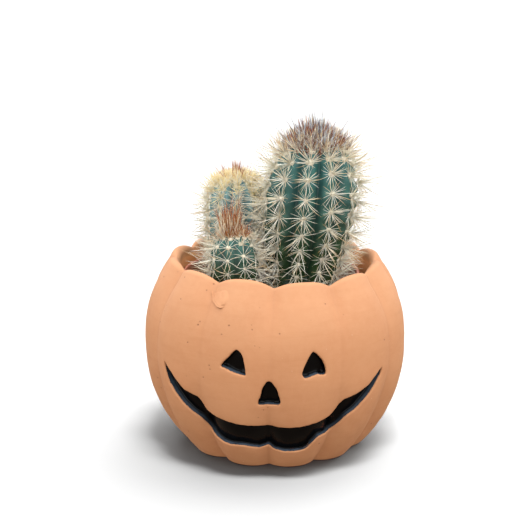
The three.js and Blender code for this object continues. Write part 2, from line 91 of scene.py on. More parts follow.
# Loops from the clay down into a pocket: the share of its depth, and how far inside its outline at its sides
# and at its lower edge.
POCKET_STEPS = [
    (0.0, -0.55, -0.55), (0.02, -0.28, -0.28), (0.07, -0.1, -0.1), (0.16, 0.02, 0.02), (0.3, 0.08, 0.06),
    (0.45, 0.14, 0.1), (0.6, 0.22, 0.15), (0.74, 0.32, 0.21), (0.86, 0.45, 0.3), (0.94, 0.62, 0.42),
    (0.985, 0.85, 0.6), (1.0, 1.1, 0.85),
]
PAINT_START = 3  # the first of those loops that the paint covers
PAINT_THICK = 0.12
# The window of the pot's outer side that the face's finer sheet fills: degrees to each side, and heights.
FACE_HALF, FACE_LOW, FACE_HIGH = 66, 7.5, 65

NURSERY_RIM, NURSERY_TOP, NURSERY_COLLAR = 40.0, 78.7, 9.0
NURSERY_FOOT, NURSERY_WALL, NURSERY_FLOOR = 28.5, 1.3, 1.6
NURSERY_CENTRE = (-1.9, -0.8)  # it stands a little off the pumpkin's middle
SOIL_TOP, SOIL_CROWN, SOIL_REACH = 71.0, 0.9, 36.5
CRUMBS, CRUMB_REACH = 420, 35.0
ROOT_DEPTH = 14.0
GAP = 0.3
GOLDEN_ANGLE = 137.508  # spreads a tuft's clumps evenly

# What sets the three stems apart: a value for each of them, in the order of their names.
STEM_NAMES = ("stem_tall", "stem_back", "stem_small")
STEM_FACTS = {
    "base": ((10.8, 1.5), (-18.6, 17.6), (-17.2, -15.2)),
    "lean": ((7.4, 1.2), (0.9, 0.8), (-0.9, 0.6)),
    "top": (139.0, 118.5, 98.5),
    "radius": (20.4, 13.2, 10.9),
    "waist": (0.76, 0.8, 0.84),
    "root": (13.0, 8.6, 7.4),
    "dome_start": (0.6, 0.68, 0.42),
    "dome_power": (2.0, 2.3, 2.4),
    "ribs": (11, 10, 9),
    "depth": (0.25, 0.22, 0.18),
    "phase": (-9.0, 4.0, -14.0),
    "youth": (1.0, 1.0, 0.78),  # how young its skin looks at the top
    "bloom": (0.1, 0.85, 0.05),  # how much pale wax lies on it
    # Areoles: spacing below and above, the first one's height, and that of ribs that have their own.
    "spacing": ((5.9, 8.6), (4.2, 4.8), (5.2, 5.6)),
    "first": (2.4, 1.5, 2.0),
    "stagger": ({0: 2.4, 1: 4.1, 2: 2.5, 10: 1.9}, {}, {}),
    "wool": (1.75, 1.4, 1.1),
    # Spines of an areole: how many, how many more at the stem's sides, how long and how thick.
    "radials": (18, 20, 9),
    "centrals": (10, 7, 3),
    "bushy": (0.8, 0.4, 0.5),
    "radial": (7.2, 6.6, 7.6),
    "central": (12.4, 9.6, 12.4),
    "girth": (1.0, 1.0, 0.85),
    "shoulder": (1.0, 0.75, 0.55),  # length where they are young
    "apex": (0.5, 0.5, 0.8),  # and on top of the dome
    "young_kind": ("gold", "straw", "gold"),
    # The tuft on top: its strands, how many make a clump, how far out they grow, their shift, height and fan.
    "tuft": (520, 240, 112),
    "clump": (6, 6, 4),
    "tuft_reach": (0.68, 0.66, 0.42),
    "tuft_shift": ((-1.0, 0.0), (0.0, 0.0), (-1.9, 0.0)),
    "crown": (12.5, 4.0, 23.0),
    "crown_fan": (0.46, 0.8, 0.15),
    "tuft_thick": (0.23, 0.19, 0.18),
    "crown_kinds": (  # from its middle outwards
        ("frost", "slate", "frost", "slate", "frost", "ember", "gold", "frost", "gold", "ember"),
        ("straw", "straw", "straw", "gold", "cream"),
        ("rust", "rust", "rust", "gold"),
    ),
    # A point of new spines, and lone spikes.
    "bud": (0, 34, 0),
    "lone": (18, 40, 0),
    "lone_reach": (15.4, 8.6, 0.0),
    "lone_kind": ("slate", "rust", None),
    "seed": (11, 23, 37),
}

# The world's light: stops of the elevation's sine, the share of the strength and the tint.
FLOOR_REACH = 15000.0
FLOOR_TINT = (0.0835, 0.0835, 0.0835)
WORLD_STRENGTH = 2.35
WARM, WHITE = (1.0, 0.75, 0.56), (1.0, 1.0, 1.0)
WORLD_LIGHT = [(-1.0, 0.115, WARM), (-0.02, 0.16, WARM), (0.02, 0.58, WHITE), (0.999, 1.0, WHITE)]
# Soft suns: name, direction, strength and spread in degrees. The floor's suns light it alone.
SUNS = [
    ("front_sun", (0.1, -0.9, 0.35), 0.14, 55),
    ("side_sun", (0.75, -0.3, 0.6), 0.6, 45),
    ("left_sun", (-0.9, -0.3, 0.3), 0.22, 55),
]
SUNS += [("floor_sun", *facts) for facts in (
    ((0.0, -0.2, 1.0), 6.2, 7), ((0.07, -0.2, 1.0), 4.4, 8), ((0.14, -0.2, 1.0), 3.6, 9),
    ((0.21, -0.2, 1.0), 3.2, 10), ((0.29, -0.2, 1.0), 2.4, 11),
    ((0.0, 0.7, 1.0), 10.2, 60), ((0.7, 0.5, 1.0), 14.9, 60), ((-0.6, 0.5, 1.0), 2.6, 60),
)]

# The camera aims so that TARGET falls on TARGET_PIXEL.
TARGET = Vector((0, 0, 47.6)) * MM
TARGET_PIXEL = (275.0, 334.7)
PHOTO_SIZE = 524
ELEVATION = 18.5
DISTANCE = 0.5175
FOCAL_PIXELS = 1120.0
SENSOR_WIDTH = 36

WORLD_UP = np.array([0, 0, 1.0])

# ---- small helpers


def smooth(x, low, high):
    t = np.clip((x - low) / (high - low), 0, 1)
    return t * t * (3 - 2 * t)


def ease(x, low, high):
    return float(smooth(x, low, high))


def mix(a, b, t):
    return a + (b - a) * t


def unit(way):
    return way / max(np.linalg.norm(way), 1e-9)


def polar(angle, radius, z):
    """Points at an angle from the front, a radius and a height."""
    a = np.radians(angle)
    return np.stack(np.broadcast_arrays(radius * np.sin(a), -radius * np.cos(a), z), axis=-1)


def rough(points, size, seed=0.0):
    """Smooth noise between about -1 and 1 at points of 2 or 3 numbers, with features of the given size."""
    shift = Vector((seed, 2.3 * seed, -1.7 * seed))
    return np.array([noise.noise(Vector((*p, 0)[:3]) / size + shift) for p in points])


def mesh_object(name, points, faces, attributes=None, flat=False):
    """A mesh from points in mm and faces, with named per-point numbers or colours."""
    mesh = bpy.data.meshes.new(name)
    mesh.from_pydata((np.asarray(points, float) * MM).tolist(), [], faces)
    for key, values in (attributes or {}).items():
        values = np.asarray(values, np.float32)
        colour = values.ndim == 2
        layer = mesh.attributes.new(key, "FLOAT_COLOR" if colour else "FLOAT", "POINT")
        layer.data.foreach_set("color" if colour else "value", values.ravel())
    if not flat:
        mesh.polygons.foreach_set("use_smooth", [True] * len(mesh.polygons))
    mesh.update()
    piece = bpy.data.objects.new(name, mesh)
    bpy.context.collection.objects.link(piece)
    return piece


def shifted(faces, start):
    return [tuple(start + int(k) for k in face) for face in faces]


def drop_unused(points, faces):
    """Leaves out the points that no face uses."""
    used = sorted({i for face in faces for i in face})
    new = {old: i for i, old in enumerate(used)}
    return points[used], [tuple(new[i] for i in face) for face in faces]


def grid_faces(rows, columns, closed=True):
    """Quads between rows of points; closed joins the last column to the first."""
    faces = []
    for a in range(0, (rows - 1) * columns, columns):
        for j in range(columns if closed else columns - 1):
            k = (j + 1) % columns
            faces.append((a + j, a + k, a + columns + k, a + columns + j))
    return faces


def cap_faces(rows, columns):
    """Triangles to the poles that follow the rows: one under the first row and one over the last."""
    top, pole = (rows - 1) * columns, rows * columns
    faces = []
    for j in range(columns):
        k = (j + 1) % columns
        faces += [(pole, k, j), (pole + 1, top + j, top + k)]
    return faces


def icosphere(level):
    """Points and faces of a unit ball."""
    ball = bmesh.new()
    bmesh.ops.create_icosphere(ball, subdivisions=level, radius=1.0)
    made = [tuple(v.co) for v in ball.verts], [tuple(v.index for v in f.verts) for f in ball.faces]
    ball.free()
    return made


def place(piece, node, material):
    piece.data.materials.append(material)
    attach(piece, "root")
    if node:
        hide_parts(node)


# ---- materials


class Shader:
    """The nodes of a material, or of the world, that are built line by line."""

    def __init__(self, name, kind="materials", surface="Principled BSDF"):
        self.material = getattr(bpy.data, kind).new(name)
        self.material.use_nodes = True
        self.tree = self.material.node_tree
        self.surface = self.tree.nodes[surface]

    def node(self, kind, inputs=None, **settings):
        made = self.tree.nodes.new("ShaderNode" + kind)
        for key, value in settings.items():
            setattr(made, key, value)
        for key, value in (inputs or {}).items():
            self.put(made.inputs[key], value)
        return made

    def put(self, socket, value):
        if isinstance(value, bpy.types.NodeSocket):
            self.tree.links.new(value, socket)
        else:
            socket.default_value = value

    def texture(self, kind, size_mm, stretch=(1, 1, 1), seed=0.0, **inputs):
        """A texture of the object's own space, stretched along its axes, with features of a size in mm."""
        where = self.node("TexCoord").outputs["Object"]
        where = self.node("Mapping", {"Vector": where, "Scale": stretch}).outputs["Vector"]
        inputs.update(Vector=where, W=seed, Scale=1 / (size_mm * MM))
        return self.node("Tex" + kind, inputs, **{kind.lower() + "_dimensions": "4D"})

    def noise(self, size_mm, detail=3.0, roughness=0.55, **settings):
        return self.texture("Noise", size_mm, Detail=detail, Roughness=roughness, **settings).outputs["Fac"]

    def spots(self, size_mm, low, high, seed=0.0):
        """Round dots on a jittered lattice of the given size: 1 in their middles and 0 beyond."""
        return self.ramp(self.texture("Voronoi", size_mm, seed=seed).outputs["Distance"], high, low)

    def ramp(self, value, low, high, to_low=0.0, to_high=1.0):
        inputs = {"Value": value, "From Min": low, "From Max": high, "To Min": to_low, "To Max": to_high}
        soft = (to_low, to_high) == (0.0, 1.0) and low < high
        made = self.node("MapRange", inputs, interpolation_type="SMOOTHSTEP" if soft else "LINEAR")
        return made.outputs["Result"]

    def math(self, operation, a, b):
        made = self.node("Math", operation=operation)
        self.put(made.inputs[0], a)
        self.put(made.inputs[1], b)
        return made.outputs["Value"]

    def times(self, a, b):
        return self.math("MULTIPLY", a, b)

    def blend(self, share, a, b):
        made = self.node("Mix", data_type="RGBA")
        self.put(made.inputs["Factor"], share)
        self.put(made.inputs[6], a)
        self.put(made.inputs[7], b)
        return made.outputs[2]

    def layers(self, base, *layers):
        """A colour with others laid over it, each a share and an sRGB colour."""
        for share, colour in layers:
            base = self.blend(share, base, rgb(*colour))
        return base

    def attribute(self, name, what="Fac"):
        return self.node("Attribute", attribute_name=name).outputs[what]

    def bump(self, height, distance_mm, strength):
        made = self.node("Bump", {"Height": height, "Distance": distance_mm * MM, "Strength": strength})
        return made.outputs["Normal"]

    def finish(self, colour, roughness, normal=None, **values):
        """Sets the surface and gives the finished material."""
        values.update(Base_Color=colour, Roughness=roughness)
        if normal is not None:
            values["Normal"] = normal
        for key, value in values.items():
            self.put(self.surface.inputs[key.replace("_", " ")], value)
        return self.material


def rgb(red, green, blue):
    """An sRGB colour of 0 to 255 as a linear one."""
    def line(c):
        c /= 255
        return c / 12.92 if c <= 0.04045 else ((c + 0.055) / 1.055) ** 2.4
    return (line(red), line(green), line(blue), 1.0)


def clay_material():
    """Fired clay with cloudy tones, wiped streaks, pinholes and specks of pale grit, with painted shade in
    the creases and pinholes, painted light on the inside and a painted sheen towards the top.
    """
    s = Shader("terracotta")
    cloud = s.ramp(s.noise(24, detail=2), 0.3, 0.7)
    mottle = s.noise(3.2, detail=4, roughness=0.65)
    streak = s.noise(9, detail=4, roughness=0.7, stretch=(0.35, 0.35, 3.0))
    pinholes_and_shade = s.times(s.spots(3.2, 0.09, 0.15), s.ramp(s.noise(13, detail=1, seed=4), 0.42, 0.54))
    grit = s.times(s.spots(3.1, 0.05, 0.12, seed=7), s.ramp(s.noise(16, detail=1, seed=9), 0.48, 0.58))
    base = s.layers(
        s.blend(cloud, rgb(191, 132, 90), rgb(195, 138, 96)),
        (s.ramp(mottle, 0.35, 0.75, 0.0, 0.6), (199, 144, 103)),
        (s.ramp(streak, 0.5, 0.85, 0.0, 0.5), (184, 124, 81)),
        # painted shade: a darker brown in the creases between the lobes
        (s.times(s.attribute("crease"), 0.13), (140, 84, 52)),
        # the pinholes are real pits in the relief; their dark colour is painted shade in them
        (s.times(pinholes_and_shade, 0.6), (112, 66, 42)),
        # painted sheen: paler, greyer clay towards the top that stands in for the highlights there
        (s.times(s.attribute("top_sheen"), 0.08), (226, 186, 154)),
        (s.times(grit, 0.7), (222, 186, 158)),
        # painted light: a brighter, warmer clay on the shaded inside wall
        (s.times(s.attribute("inside"), 0.9), (255, 182, 120)),
    )
    relief = s.math("ADD", s.times(mottle, 0.5), s.times(streak, 0.7))
    relief = s.math("ADD", s.math("SUBTRACT", relief, s.times(pinholes_and_shade, 1.5)), grit)
    return s.finish(base, 0.78, s.bump(relief, 0.16, 0.8))


def paint_material():
    """Gloss black paint with a painted slate-blue reflection on its lower walls, and thin enough in a few
    places for the clay to show.
    """
    s = Shader("gloss_black_paint")
    bare = s.ramp(s.noise(5.5, detail=3, roughness=0.6, seed=13), 0.68, 0.74)
    patchy = s.ramp(s.noise(4, detail=2, seed=3), 0.3, 0.5, 0.55, 1.0)
    base = s.layers(
        rgb(3, 3, 4),
        (s.times(bare, 0.75), (98, 50, 33)),
        # painted reflection: slate blue on the upward-facing lower walls of the pockets
        (s.times(s.attribute("lower_wall_reflection"), patchy), (74, 86, 99)),
    )
    return s.finish(base, 0.24, s.bump(s.noise(2.2, detail=2, seed=5), 0.12, 0.6), Specular_IOR_Level=0.15)


def nursery_material():
    s = Shader("nursery_plastic")
    dust = s.ramp(s.noise(7, detail=4, roughness=0.65), 0.45, 0.75)
    base = s.layers(rgb(140, 68, 42), (dust, (158, 90, 64)), (s.attribute("rim"), (186, 108, 82)))
    scuffs = s.noise(2.5, detail=3, stretch=(1, 1, 0.3))
    return s.finish(base, s.ramp(dust, 0.0, 1.0, 0.36, 0.62), s.bump(scuffs, 0.1, 0.5))


def soil_material():
    s = Shader("potting_soil")
    crumb = s.noise(1.3, detail=5, roughness=0.7)
    fibre = s.ramp(s.noise(4, detail=3, seed=3), 0.62, 0.72)
    base = s.layers(rgb(30, 20, 14), (s.ramp(crumb, 0.35, 0.7), (74, 52, 36)), (fibre, (112, 82, 56)))
    return s.finish(base, 0.95, s.bump(crumb, 0.5, 1.0))


def skin_material():
    """Waxy skin, blue-green above and deep green below, with painted shade in the furrows between the ribs.
    """
    s = Shader("cactus_skin")
    age = s.attribute("age")
    wax = s.ramp(s.noise(3.6, detail=4, roughness=0.6), 0.3, 0.72)
    fine = s.noise(0.7, detail=2, seed=5)
    old = s.blend(wax, rgb(14, 44, 8), rgb(28, 63, 16))
    young = s.blend(wax, rgb(25, 83, 80), rgb(47, 110, 101))
    base = s.layers(
        s.blend(s.ramp(age, 0.22, 0.78), old, young),
        (s.times(s.attribute("bloom"), s.ramp(age, 0.1, 0.6)), (122, 166, 172)),
        # painted shade: darker in the furrows between the ribs
        (s.ramp(s.attribute("crest"), 0.0, 0.75, 0.5, 0.0), (18, 38, 40)),
        (s.ramp(fine, 0.62, 0.8, 0.0, 0.25), (92, 116, 106)),
    )
    relief = s.bump(s.math("ADD", fine, wax), 0.08, 0.6)
    waxy = s.ramp(wax, 0.0, 1.0, 0.42, 0.6)
    return s.finish(base, waxy, relief, Subsurface_Weight=0.08, Subsurface_Scale=0.002)


def spine_material():
    """Horny spines that take their colour from their points."""
    s = Shader("spines")
    return s.finish(s.attribute("tint", "Color"), 0.45)


def wool_material():
    s = Shader("areole_wool")
    fuzz = s.noise(0.35, detail=3, roughness=0.7)
    base = s.layers(s.attribute("tint", "Color"), (s.ramp(fuzz, 0.35, 0.65, 0.3, 0.0), (168, 140, 100)))
    return s.finish(base, 0.9, s.bump(fuzz, 0.25, 1.0))


# ---- the pumpkin pot


def crest_radius(z):
    below = z < WIDEST
    reach = np.where(below, LOWER_REACH, UPPER_REACH)
    power = np.where(below, LOWER_POWER, UPPER_POWER)
    share = np.clip(np.abs(z - WIDEST) / reach, 0, 1)
    return POT_RADIUS * (1 - share**power) ** (1 / power)


def valley(lobe):
    """1 in the crease between two lobes and 0 on a crest. lobe counts 30 degrees for every lobe."""
    off = 1 - np.abs(2 * (lobe / LOBE_ANGLE % 1) - 1)
    soft = np.sqrt(off**2 + VALLEY_SOFT**2) - VALLEY_SOFT * (1 - off)
    return np.clip(1 - soft, 0, 1) ** VALLEY_POWER


def valley_depth(z):
    low = mix(VALLEY_LOW, VALLEY_WIDE, smooth(z, 12, WIDEST))
    high = mix(VALLEY_WIDE, VALLEY_TOP, smooth(z, WIDEST, LIP_HEIGHT))
    return np.where(z < WIDEST, low, high)


def dip_at(z):
    return LIP_DIP * smooth(z, 58, LIP_HEIGHT - LIP_ROUND)


def turn_at(z):
    return mix(TWIST_FOOT, TWIST_TOP, z / LIP_HEIGHT)


def spread_at(lobe):
    return LOBE_SPREAD * np.sin(np.radians(2 * lobe))


def lobe_of_angle(angle, z):
    straight = angle - turn_at(z)
    return straight - spread_at(straight - spread_at(straight))


def sag_at(lobe, z):
    """How far the hand-made rim hangs down on the right."""
    return RIM_SAG * smooth(np.sin(np.radians(lobe)), -0.15, 0.3) * smooth(z, 58, 84)


def ring_points(lobe, radius, z, depth, dip):
    """Points at nominal radii and heights that take a share of the valleys' depth and the rim's dip."""
    v = valley(lobe)
    angle = lobe + spread_at(lobe) + turn_at(z)
    drop = dip * v * (1 - DIP_EASE * np.sin(np.radians(lobe)) ** 2) + sag_at(lobe, z)
    return polar(angle, radius - depth * v, z - drop)


def outer_points(lobe, z, push):
    """Points of the pot's outer side, pushed out from it."""
    return ring_points(lobe, crest_radius(z) + push, z, valley_depth(z), dip_at(z))


def pot_rings():
    """The pot's rings from under its foot, up the outside, over the lip, down the inside and over the floor.

    Each is (radius, height, valley depth, rim dip). Also gives the index of each outer ring with its height.
    """
    rings = [(r, FOOT_RECESS, 0, 0) for r in (8, 16, 22, FOOT_RECESS_RADIUS)]
    rings += [(27.5, 0.9, 0, 0), (28.1, 0.25, 0, 0), (28.8, 0, 0, 0), (33, 0, 0.8, 0), (37, 0, 2.2, 0)]
    rings += [(38.9, 0.05, 3.0, 0), (40.6, 0.35, 3.6, 0), (crest_radius(1.1), 1.1, 4.1, 0)]
    outer = {}
    shoulder = LIP_HEIGHT - LIP_ROUND
    for z in np.arange(2.4, shoulder - 1.6, ROW_STEP):
        outer[len(rings)] = z
        rings.append((crest_radius(z), z, valley_depth(z), dip_at(z)))
    for turn in range(36, 181, 12):
        out = math.cos(math.radians(turn))
        up = math.sin(math.radians(turn))
        depth = mix(0.4, VALLEY_TOP, ease(out, -1, 0.8))
        rings.append((LIP_RADIUS + out * LIP_ROUND, shoulder + up * LIP_ROUND, depth, LIP_DIP))
    for z in (81, 78.5, 76, 73, 70, 66, 61, 56, 50, 44, 38, 32, 26, 20, 15, 11):
        wall = mix(WALL_LOW, WALL_TOP, ease(z, 40, 80))
        under_lip = ease(z, 60, 74)  # above this the inside rises straight up to the lip
        radius = mix(crest_radius(z) - wall, LIP_RADIUS - LIP_ROUND, under_lip)
        rings.append((radius, z, 0.4, LIP_DIP * ease(z, 66, 82)))
    foot = crest_radius(POT_FLOOR) - WALL_LOW
    rings += [(foot - 0.6, 8.4, 0, 0), (foot - 3, POT_FLOOR, 0, 0), (foot - 10, POT_FLOOR, 0, 0)]
    return rings, outer


def bowed_outline(corners, step=0.35, roundness=0.55):
    """A closed outline through corners whose sides bulge outwards, as [degrees, height]."""
    points = []
    for (x0, z0, bulge), (x1, z1, _) in zip(corners, corners[1:] + corners[:1]):
        length = math.hypot(x1 - x0, z1 - z0)
        out = ((z1 - z0) / length, -(x1 - x0) / length)
        count = max(2, round(length / step))
        for i in range(count):
            t = i / count
            push = bulge * 4 * t * (1 - t)
            points.append((mix(x0, x1, t) + out[0] * push, mix(z0, z1, t) + out[1] * push))
    outline = soften(np.array(points), step, roundness)
    return np.c_[np.degrees(outline[:, 0] / POT_RADIUS), outline[:, 1]]


def soften(points, step, roundness):
    """Rounds a closed outline's corners with a Gaussian of the given width in mm."""
    reach = int(3 * roundness / step) + 1
    weights = np.exp(-0.5 * (np.arange(-reach, reach + 1) * step / roundness) ** 2)
    weights /= weights.sum()
    return sum(w * np.roll(points, -k, axis=0) for k, w in zip(range(-reach, reach + 1), weights))


def lip_height(lip, angle):
    for (a0, z0, bow), (a1, z1, _) in zip(lip, lip[1:]):
        if angle <= a1:
            break
    t = (angle - a0) / (a1 - a0)
    return mix(z0, z1, t) + 4 * bow * t * (1 - t)


def mouth_outline(step=0.5, roundness=0.6):
    """The smile as a closed outline of [degrees, height], anticlockwise from its left end."""
    left, right = LOWER_LIP[0][0], LOWER_LIP[-1][0]
    count = round(math.radians(right - left) * POT_RADIUS / step)
    angles = np.linspace(left, right, count)
    lower = [(a, lip_height(LOWER_LIP, a)) for a in angles]
    upper = [(a, lip_height(UPPER_LIP, a)) for a in angles[::-1]]
    return soften(np.array(lower + upper), step, roundness)


def flat_place(angle, z):
    """Where a place on the outside lies on the flat sheet that the pockets are laid out on."""
    return np.stack([np.radians(lobe_of_angle(angle, z)) * POT_RADIUS, z], axis=-1)


def sheet_point(flat, push):
    return outer_points(np.degrees(flat[..., 0] / POT_RADIUS), flat[..., 1], push)


def inside(points, loop):
    """Which points lie within a closed loop."""
    x, z = points[:, 0][:, None], points[:, 1][:, None]
    x0, z0 = loop[:, 0], loop[:, 1]
    x1, z1 = np.roll(x0, -1), np.roll(z0, -1)
    crosses = (z0 > z) != (z1 > z)
    with np.errstate(divide="ignore", invalid="ignore"):
        at = x0 + (z - z0) * (x1 - x0) / (z1 - z0)
    return (np.sum(crosses & (x < at), axis=1) % 2).astype(bool)


def near(points, loop, margin):
    """Which points lie closer than a margin to a loop's points."""
    gaps = np.linalg.norm(points[:, None, :] - loop[None, :, :], axis=2)
    return gaps.min(axis=1) < margin


class Pocket:
    """One carved pocket: its loops on the flat sheet, from the clay round it to the edge of its floor."""

    def __init__(self, outline, depth, seed):
        flat = flat_place(outline[:, 0], outline[:, 1])
        along = np.roll(flat, -1, axis=0) - np.roll(flat, 1, axis=0)
        along /= np.linalg.norm(along, axis=1)[:, None]
        inward = np.c_[-along[:, 1], along[:, 0]]
        wobble = rough(flat, 3.2, seed) * 0.24 + rough(flat, 1.3, seed + 5) * 0.1
        edge = flat + inward * wobble[:, None]
        room = self.room(flat, inward)
        self.depth = depth
        self.ragged = 0.06 * rough(flat, 0.9, seed + 20)
        self.lower = np.clip(inward[:, 1], 0, 1) ** 1.5
        self.loops = []
        for share, side, low in POCKET_STEPS:
            take = mix(side, low, self.lower)
            if side > 0:
                take = np.minimum(take, room * 0.6 * side / POCKET_STEPS[-1][1])
            self.loops.append((edge + inward * take[:, None], share))

    @staticmethod
    def room(flat, inward, most=9.0, window=4):
        """How far each place of the outline can move inwards before it meets the far side's half."""
        reach = np.full(len(flat), most)
        for i, (point, way) in enumerate(zip(flat, inward)):
            to = flat - point
            ahead = to @ way
            aside = np.abs(to @ np.array([way[1], -way[0]]))
            facing = (ahead > 0.05) & (aside < 0.6 + 0.35 * ahead)
            if facing.any():
                reach[i] = min(most, ahead[facing].min() / 2)
        return np.min([np.roll(reach, k) for k in range(-window, window + 1)], axis=0)

    def floor(self, step=1.2):
        """Triangles of the pocket's floor, and the flat places that they use within its edge."""
        edge = self.loops[-1][0]
        (left, low), (right, high) = edge.min(axis=0), edge.max(axis=0)
        spread = np.array([(x, z) for z in np.arange(low, high, step) for x in np.arange(left, right, step)])
        spread = spread[inside(spread, edge) & ~near(spread, edge, 0.7)]
        flat, triangles, _ = flat_sheet(edge, spread)
        return triangles, flat[len(edge):]

    def surface(self, first=0, lift=0.0):
        """Points and faces from one of its loops down its wall and over its floor.

        A lifted surface is a coat of paint, whose edge is ragged and sinks into the clay.
        """
        points = []
        for n, (loop, share) in enumerate(self.loops[first:]):
            push = np.full(len(loop), lift - share * self.depth)
            if lift and n == 0:
                push -= lift + 0.15
            if lift and n < 2:
                push += self.ragged * self.depth * (2 - n) / 2
            points.append(sheet_point(loop, push))
        faces = grid_faces(len(points), len(loop))
        floor, extra = self.floor()
        faces += shifted(floor, (len(points) - 1) * len(loop))
        if len(extra):
            sag = 0.18 * rough(extra, 5.0, 8.0)
            points.append(sheet_point(extra, lift - self.depth + sag))
        return np.concatenate(points), faces


def flat_sheet(outline, spread, holes=()):
    """Points and triangles within an outline and round holes, and where each hole's points start."""
    for hole in holes:
        spread = spread[~(inside(spread, hole) | near(spread, hole, 0.75))]
    parts, edges, starts = [], [], []
    for loop in (outline, spread, *holes):
        start, count = sum(len(part) for part in parts), len(loop)
        parts.append(loop)
        starts.append(start)
        edges += [(start + i, start + (i + 1) % count) for i in range(count) if loop is not spread]
    vectors = [Vector((float(x), float(z))) for x, z in np.concatenate(parts)]
    made, _, faces, _, _, _ = delaunay_2d_cdt(vectors, edges, [], 0, 1e-5)
    flat = np.array([tuple(v) for v in made])
    turns = [np.cross(flat[b] - flat[a], flat[c] - flat[a]) for a, b, c in faces]
    triangles = np.array([(a, b, c) if turn > 0 else (a, c, b) for (a, b, c), turn in zip(faces, turns)])
    middles = flat[triangles].mean(axis=1)
    kept = inside(middles, outline)
    for hole in holes:
        kept &= ~inside(middles, hole)
    return flat, triangles[kept], starts[2:]


def flap_rise(x, b):
    """How far the clay flap stands out at x across and b up from its middle, and None beyond its sides."""
    from_left = x + 5.5 - 0.155 * (2.9 - b) ** 2 - 0.15 * math.sin(2.3 * b)
    to_right = 5.6 - 0.11 * (b + 0.8) ** 2 - x
    rise = ease(from_left, 0.0, 0.3) * ease(to_right, 0.0, 2.4) * ease(3.9 - b, 0.0, 2.2)
    height = rise * mix(1.25, 0.5, ease(b, -4.5, 2.5))
    height += 0.1 * math.sin(3.6 * from_left) * rise * ease(3 - from_left, 0, 2)
    height += 0.16 * noise.noise(Vector((x / 1.4, b / 2.0, 3.0))) * rise
    height -= 0.5 * math.exp(-(((x - 4.0) / 1.0) ** 2 + ((b + 3.3) / 0.32) ** 2)) * rise
    return None if from_left < 0 or to_right < 0 else height


def clay_flap():
    """A thin curl of clay that was pressed onto the rim: a patch that sinks into the pot at its edges."""
    angle, z = FLAP_PLACE
    points = []
    for b in FLAP_ROWS:
        for x in FLAP_COLUMNS:
            height = flap_rise(x, b)
            push = -0.3 if height is None else height - 0.12
            lobe = lobe_of_angle(angle + math.degrees(x / FLAP_RADIUS), z + b)
            points.append(outer_points(lobe, z + b, push))
    return np.array(points), grid_faces(len(FLAP_ROWS), len(FLAP_COLUMNS), closed=False)


def crease_shade_at(points):
    """How much painted shade darkens the creases between the lobes, mostly near the rim."""
    angle = np.degrees(np.arctan2(points[:, 0], -points[:, 1]))
    lobe = lobe_of_angle(angle, points[:, 2])
    off = np.abs((lobe / LOBE_ANGLE + 0.5) % 1 - 0.5) * LOBE_ANGLE
    return np.exp(-((off / 0.9) ** 2)) * (0.35 + 0.65 * smooth(points[:, 2], 55, 82))


def inner_light_at(points):
    """Where light is painted on the pot's inside: 1 below its lip."""
    z = points[:, 2]
    reach = np.hypot(points[:, 0], points[:, 1])
    within = smooth(crest_radius(z) - 5.5 - reach, 0, 1.5) * smooth(z, POT_FLOOR - 1, POT_FLOOR)
    return within * (1 - smooth(z, 80, 87))


def uneven(points):
    """A hand-made unevenness, which leaves the foot flat."""
    calm = smooth(points[:, 2], 0.6, 5)
    away = points.copy()
    away[:, 2] = 0
    away /= np.maximum(np.linalg.norm(away, axis=1), 1)[:, None]
    lumps = (0.08 + 0.2 * (1 - smooth(points[:, 2], 14, 30))) * rough(points, 5.5, 2.0)
    return points + away * ((0.22 * rough(points, 19, 1.0) + lumps) * calm)[:, None]


def face_pockets():
    eyes_and_nose = ((1.0, LEFT_EYE), (2.0, RIGHT_EYE), (3.0, NOSE))
    pockets = [Pocket(bowed_outline(outline), EYE_DEPTH, seed) for seed, outline in eyes_and_nose]
    return pockets + [Pocket(mouth_outline(), MOUTH_DEPTH, 4.0)]


def face_paint(pockets):
    """The coat of paint that lines the pockets, with a painted reflection along their lower walls."""
    points, faces, lower_wall_reflection = np.zeros((0, 3)), [], []
    for pocket in pockets:
        more, more_faces = pocket.surface(PAINT_START, PAINT_THICK)
        faces += shifted(more_faces, len(points))
        points = np.concatenate([points, more])
        shares = [share for _, share in pocket.loops[PAINT_START:]]
        # how much painted reflection each loop of the lower wall takes
        thick = [ease(share, 0.1, 0.3) * (1 - ease(share, 0.6, 0.95)) for share in shares]
        lower_wall_reflection.append(np.concatenate([pocket.lower * amount for amount in thick]))
        lower_wall_reflection.append(np.zeros(len(more) - len(lower_wall_reflection[-1])))
    return mesh_object("face_paint_coat", uneven(points), faces, {"lower_wall_reflection": np.concatenate(lower_wall_reflection)})


def ring_faces(count, low, high, half):
    """Faces between the pot's rings and to their poles, without those in the face's window."""
    faces = []
    for face in grid_faces(count, COLUMNS):
        i, j = divmod(face[0], COLUMNS)
        if not (low <= i < high and (j < half or j >= COLUMNS - half)):
            faces.append(face)
    return faces + cap_faces(count, COLUMNS)


def face_sheet(outer, low, high, half, rims):
    """The flat sheet round the pockets' rims, and the grid's own points that its border follows."""
    def laid(cells):
        return np.array([(math.radians(j * 360 / COLUMNS) * POT_RADIUS, outer[i]) for i, j in cells])

    border = [(low, j) for j in range(-half, half)] + [(i, half) for i in range(low, high)]
    border += [(high, j) for j in range(half, -half, -1)] + [(i, -half) for i in range(high, low, -1)]
    within = [(i, j) for i in range(low + 1, high) for j in range(1 - half, half)]
    return *flat_sheet(laid(border), laid(within), rims), [i * COLUMNS + j % COLUMNS for i, j in border]


